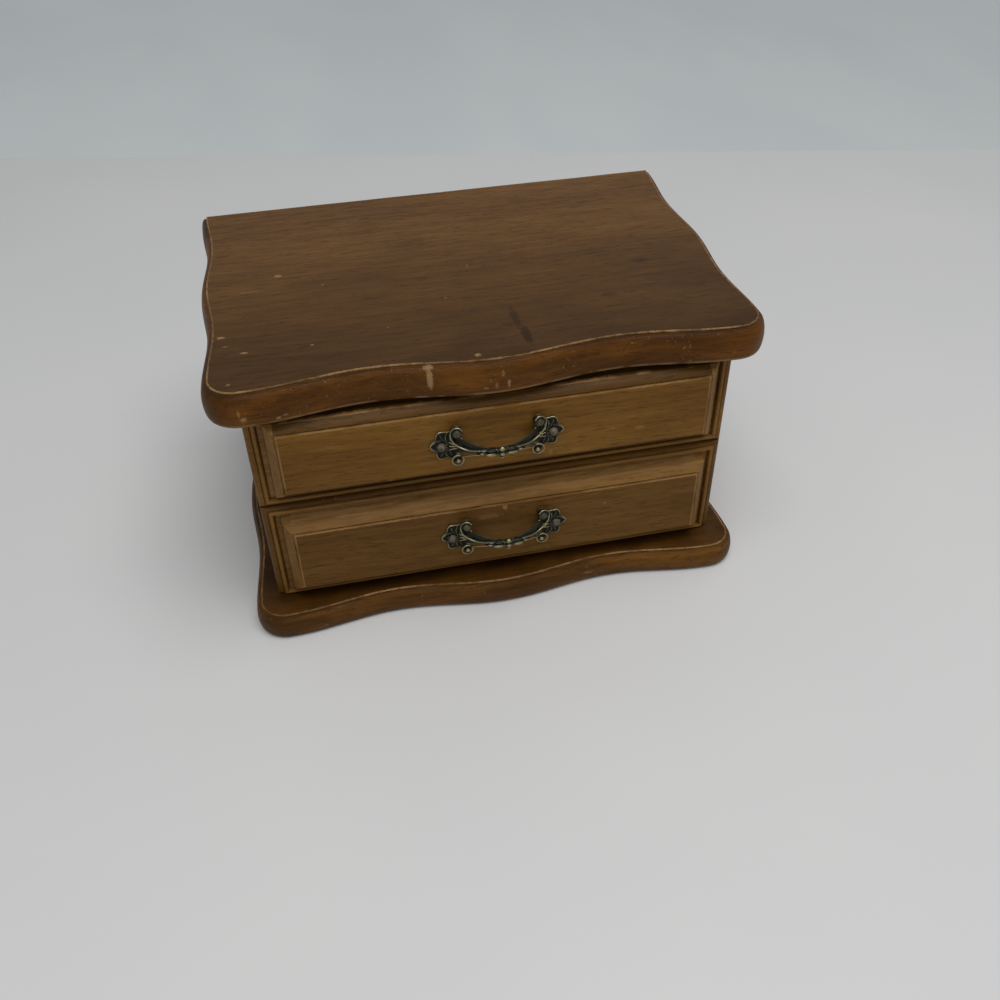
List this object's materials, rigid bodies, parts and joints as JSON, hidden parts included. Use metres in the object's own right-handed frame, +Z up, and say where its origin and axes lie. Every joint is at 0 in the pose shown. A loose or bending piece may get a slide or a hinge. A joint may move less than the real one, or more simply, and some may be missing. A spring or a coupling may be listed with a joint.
{
  "type": "vanity box with mirror",
  "caption": "Wooden vanity box with a wavy moulded base and hinged lid, a mirror inside the lid, a velvet-lined compartment and a drawer with raised-panel fronts and cast pulls.",
  "frame": {"origin": "middle of the overall box in X and Y, on the surface the felt underside rests on", "axes": "+Z up, the moulded fronts and their pulls face -Y, +X to the right as seen from the front"},
  "size_m": [0.2294, 0.169, 0.1268],
  "materials": {
    "dark_wood": "worn satin varnish over dark walnut stain",
    "panel_wood": "satin varnish over walnut stain",
    "front_wood": "worn satin varnish over golden walnut stain",
    "inner_wood": "bare planed softwood",
    "cast_brass": "antique brass, dark in the hollows and worn bright on the rims",
    "hinge_brass": "rolled brass, slightly tarnished",
    "steel": "plain steel",
    "velvet": "short-pile velvet on card",
    "felt": "pressed felt",
    "mirror": "silvered glass",
    "card": "grey board"
  },
  "bodies": {
    "case": {"base_felt": "felt", "base_board": "dark_wood", "base_screws": "steel", "side_panel_left": "panel_wood", "side_panel_right": "panel_wood", "back_panel": "panel_wood", "fixed_front": "front_wood", "compartment_shelf": "inner_wood", "drawer_runner_left": "inner_wood", "drawer_runner_right": "inner_wood", "drawer_stops": "inner_wood", "compartment_lining": "velvet", "compartment_pad": "velvet", "upper_pull": "cast_brass", "upper_pull_pins": "steel", "hinge_left_case_leaf": "hinge_brass", "hinge_right_case_leaf": "hinge_brass", "hinge_left_pin": "steel", "hinge_right_pin": "steel", "hinge_case_screws": "hinge_brass"},
    "lid": {"lid_board": "dark_wood", "mirror_card": "card", "mirror_glass": "mirror", "mirror_frame": "panel_wood", "hinge_left_lid_leaf": "hinge_brass", "hinge_right_lid_leaf": "hinge_brass", "hinge_lid_screws": "hinge_brass"},
    "drawer": {"drawer_front": "front_wood", "drawer_side_left": "inner_wood", "drawer_side_right": "inner_wood", "drawer_back": "inner_wood", "drawer_bottom": "inner_wood", "drawer_lining": "velvet", "drawer_pad": "velvet", "lower_pull": "cast_brass", "lower_pull_pins": "steel"}
  },
  "joints": [
    {"name": "lid_hinge", "type": "hinge", "parent": "case", "child": "lid", "pos_m": [0, 0.0803, 0.11215], "axis": [-1, 0, 0], "range_deg": [0, 95]},
    {"name": "drawer_slide", "type": "slide", "parent": "case", "child": "drawer", "axis": [0, -1, 0], "range_m": [0, 0.108]}
  ]
}
